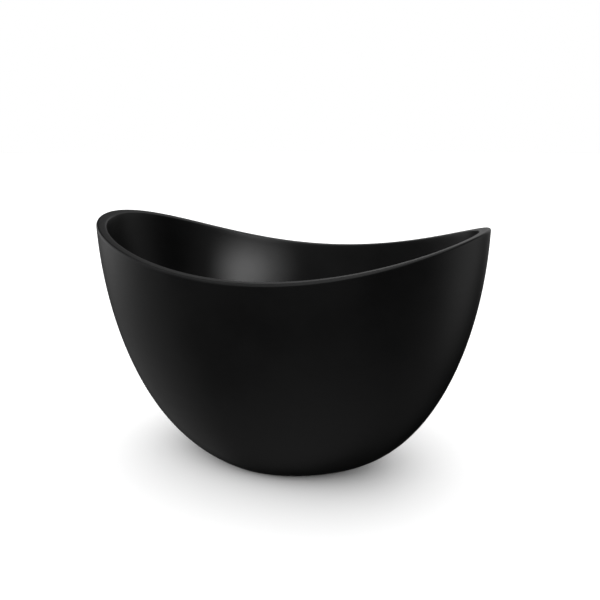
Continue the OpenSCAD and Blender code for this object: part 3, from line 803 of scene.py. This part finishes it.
curve = smooth_curve(route, 40)
run = np.concatenate([[0], np.cumsum(np.linalg.norm(np.diff(curve, axis=0), axis=1))])
hose_length = run[-1]
stations = np.linspace(0, hose_length, round(hose_length / RIB_PITCH * 8) + 1)
centre = np.stack([np.interp(stations, run, curve[:, 0]), np.interp(stations, run, curve[:, 1])], axis=-1)
forward = np.gradient(centre, axis=0)
forward /= np.linalg.norm(forward, axis=1, keepdims=True)
hose_turn = 2 * math.pi * np.arange(HOSE_SIDES) / HOSE_SIDES


def hose_ring(k, radius):
    c, s = radius * np.cos(hose_turn), radius * np.sin(hose_turn)
    return np.stack([c, centre[k, 0] + s * forward[k, 1], centre[k, 1] - s * forward[k, 0]], axis=-1)


from_end = np.minimum(stations, hose_length - stations)
ribbed = np.clip((from_end - CUFF) / RIB_PITCH, 0, 1)
valley = 0.5 - 0.5 * np.cos(2 * math.pi * stations / RIB_PITCH)
outside = HOSE_RADIUS - RIB_DEPTH * ribbed * valley ** RIB_ROUNDNESS
last = len(stations) - 1
hose_rings = [hose_ring(0, HOSE_RADIUS - END_EASE)]
hose_rings += [hose_ring(k, outside[k]) for k in range(1, last)]
hose_rings += [hose_ring(last, HOSE_RADIUS - END_EASE)]
hose_rings += [hose_ring(k, HOSE_BORE) for k in [*range(last, 0, -6), 0]]
overflow_hose = lofted("ribbed_hose", hose_rings, closed=True, crease=50)


def soft_plastic(wire, place):
    """Dark grey plasticised hose: a waxy skin, dust, and ribs polished on their crests."""
    skin = noise(wire, place, 500.0, 3.0)
    cloud = noise(wire, place, 24.0, 4.0)
    dust = noise(wire, place, 150.0, 4.0, 0.6).band(0.55, 0.72)
    crest = worn_edge(wire, 0.0010) * 0.4
    tone = colours(wire, cloud.band(0.3, 0.7), (0.040, 0.041, 0.043), (0.060, 0.061, 0.064))
    tone = colours(wire, dust * 0.25 + crest * 0.2, tone, (0.17, 0.165, 0.155))
    return {"Base Color": tone, "Roughness": 0.42 + cloud * 0.1 + dust * 0.2 - crest * 0.1,
            "height": (skin, 0.00004)}


dressed(overflow_hose, finish("soft_hose_plastic", soft_plastic, IOR=1.48))
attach(overflow_hose, "tub")
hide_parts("overflow_hose")


# ---------------------------------------------------------------- hose clips
# Worm-drive clips of zinc-plated strip, one on each cuff of the hose.

dressed(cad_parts["hose_clips"], plated)


# ---------------------------------------------------------------- floor, lights and camera
# A plain pale floor, and soft light from wide panels all round the tub. The panels show only in
# what they light, and the camera stands a little to the right, looking down over the front.

bpy.ops.mesh.primitive_circle_add(vertices=96, radius=40, fill_type="NGON", location=(0, 0, 0))
floor = bpy.context.object
floor.name = "studio_floor"


def painted_floor(wire, place):
    patch = noise(wire, place, 1.5, 3.0)
    return {"Base Color": colours(wire, patch, (0.78, 0.78, 0.78), (0.80, 0.80, 0.80)),
            "Roughness": 0.8 + patch * 0.05}


dressed(floor, finish("pale_floor", painted_floor))
floor.visible_glossy = False
floor.visible_diffuse = False
floor.visible_shadow = False

only_floor = bpy.data.collections.new("lit_by_the_floor_light")
only_floor.objects.link(floor)
floor_light = bpy.data.objects.new("floor_light", bpy.data.lights.new("floor_light", "SUN"))
bpy.context.scene.collection.objects.link(floor_light)
floor_light.data.energy = 4.4
floor_light.data.angle = math.radians(150)
floor_light.light_linking.receiver_collection = only_floor

far_wall = Vector((-0.22, 0.28, 0.53))
SOFT_BOX_DISTANCE = 1.2


def heading_to(azimuth, elevation):
    """Direction from the tub towards a light or the camera, both angles in degrees."""
    a, e = math.radians(azimuth), math.radians(elevation)
    return Vector((math.sin(a) * math.cos(e), -math.cos(a) * math.cos(e), math.sin(e)))


from_box = heading_to(10, 20)
soft_box = bpy.data.objects.new("soft_box", bpy.data.lights.new("soft_box", "AREA"))
bpy.context.scene.collection.objects.link(soft_box)
soft_box.location = far_wall + from_box * SOFT_BOX_DISTANCE
soft_box.rotation_euler = from_box.to_track_quat("Z", "Y").to_euler()
soft_box.data.shape = "RECTANGLE"
soft_box.data.size, soft_box.data.size_y = 0.17, 0.13
soft_box.data.spread = math.radians(11)
soft_box.data.energy = 0.08
soft_box.visible_camera = False

FRONT, RIGHT, BACK, LEFT = 0, 90, 180, 270
PANELS = (
    # azimuth and elevation in degrees, strength
    (FRONT, 30, 0.8),
    (LEFT, 15, 0.9),
    (RIGHT + 20, 0, 0.45),
    (RIGHT, -45, 0.1),
    (BACK, 15, 0.5),
    (FRONT, -60, 0.2),
    (LEFT, -30, 0.25),
    (FRONT, 90, 1.0),
)
PANEL_HALF_WIDTH = math.radians(40)
WHITE_WALL = 1.0

world = bpy.data.worlds.new("studio")
bpy.context.scene.world = world
world.use_nodes = True
world.node_tree.nodes.clear()
air = Wire(world.node_tree)
heading = air.add("TexCoord", output="Generated")
light = 0.0
for azimuth, elevation, strength in PANELS:
    towards = heading_to(azimuth, elevation)
    facing = air.add("VectorMath", {"operation": "DOT_PRODUCT"}, {0: heading, 1: towards}, output="Value")
    light = facing.band(math.cos(PANEL_HALF_WIDTH), 1.0, 0.0, strength) + light
panels = air.add("Background", {}, {"Color": (1, 1, 1, 1), "Strength": light})
wall = air.add("Background", {}, {"Color": (1, 1, 1, 1), "Strength": WHITE_WALL})
seen = air.add("LightPath", output="Is Camera Ray")
air.add("OutputWorld", {}, {"Surface": air.add("MixShader", {}, {0: seen, 1: panels, 2: wall})})

CAMERA_AZIMUTH = 22.23
CAMERA_ELEVATION = 14.19
CAMERA_DISTANCE = 1.964
AIM_RIGHT = 0.0570
AIM_HEIGHT = 0.4948

right = heading_to(CAMERA_AZIMUTH + 90, 0)
back_to_camera = heading_to(CAMERA_AZIMUTH, CAMERA_ELEVATION)
camera = bpy.data.objects.new("camera", bpy.data.cameras.new("camera"))
bpy.context.scene.collection.objects.link(camera)
camera.location = right * AIM_RIGHT + Vector((0, 0, AIM_HEIGHT)) + back_to_camera * CAMERA_DISTANCE
camera.rotation_euler = (-back_to_camera).to_track_quat("-Z", "Y").to_euler()
camera.data.lens = 38.65
camera.data.sensor_width = 36
camera.data.clip_end = 200
bpy.context.scene.camera = camera
bpy.context.scene.view_settings.view_transform = "Standard"
